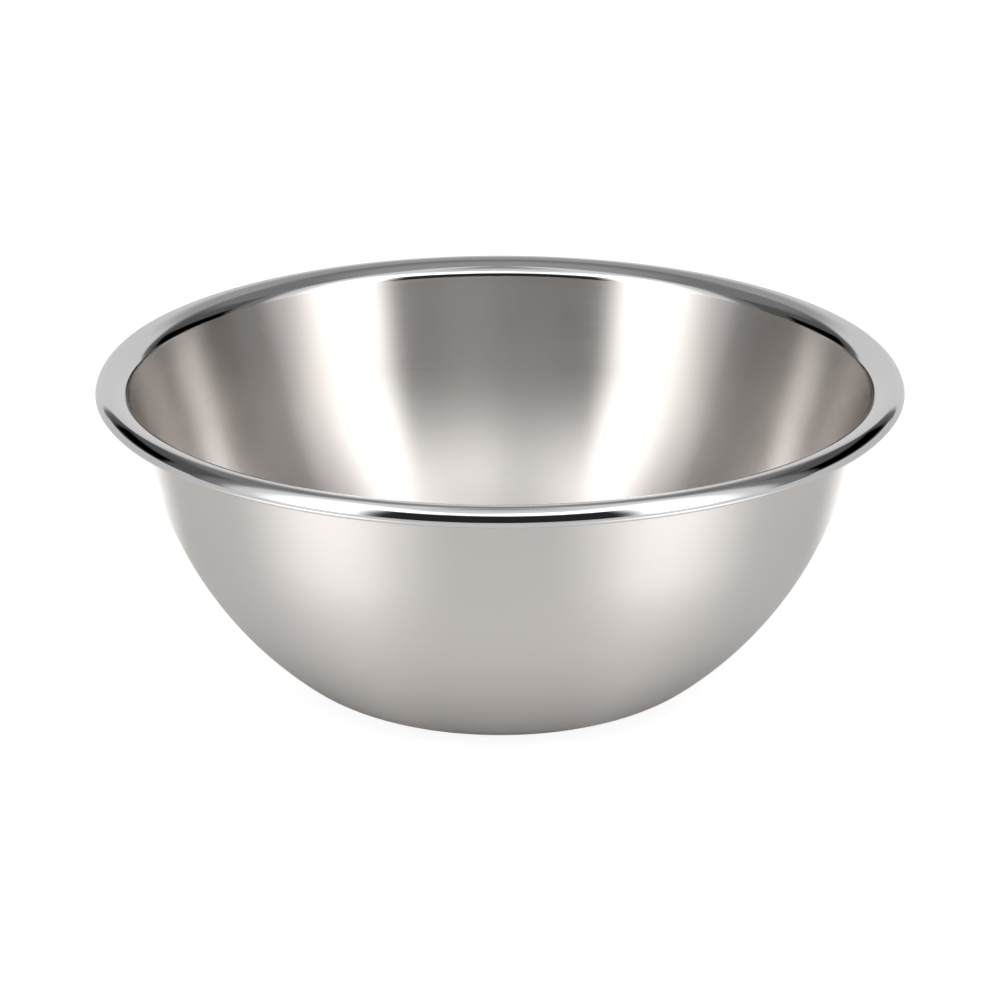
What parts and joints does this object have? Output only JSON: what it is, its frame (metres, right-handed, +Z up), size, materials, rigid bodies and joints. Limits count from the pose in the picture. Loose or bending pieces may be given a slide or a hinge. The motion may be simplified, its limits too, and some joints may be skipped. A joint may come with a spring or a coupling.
{
  "type": "mixing bowl",
  "caption": "Round stainless steel mixing bowl with a flat base, smoothly curved wall, satin faces and a wide polished rolled rim.",
  "frame": {"origin": "centre of the flat base, on the surface that the bowl rests on", "axes": "+Z up along the bowl's axis, out of its mouth; +X and +Y are any two directions across the round bowl"},
  "size_m": [0.25, 0.25, 0.1],
  "materials": {
    "satin_steel": "satin brushed round the walls inside and out, with a mirror-polished rolled rim"
  },
  "bodies": {
    "root": {"bowl": "satin_steel"}
  },
  "joints": []
}
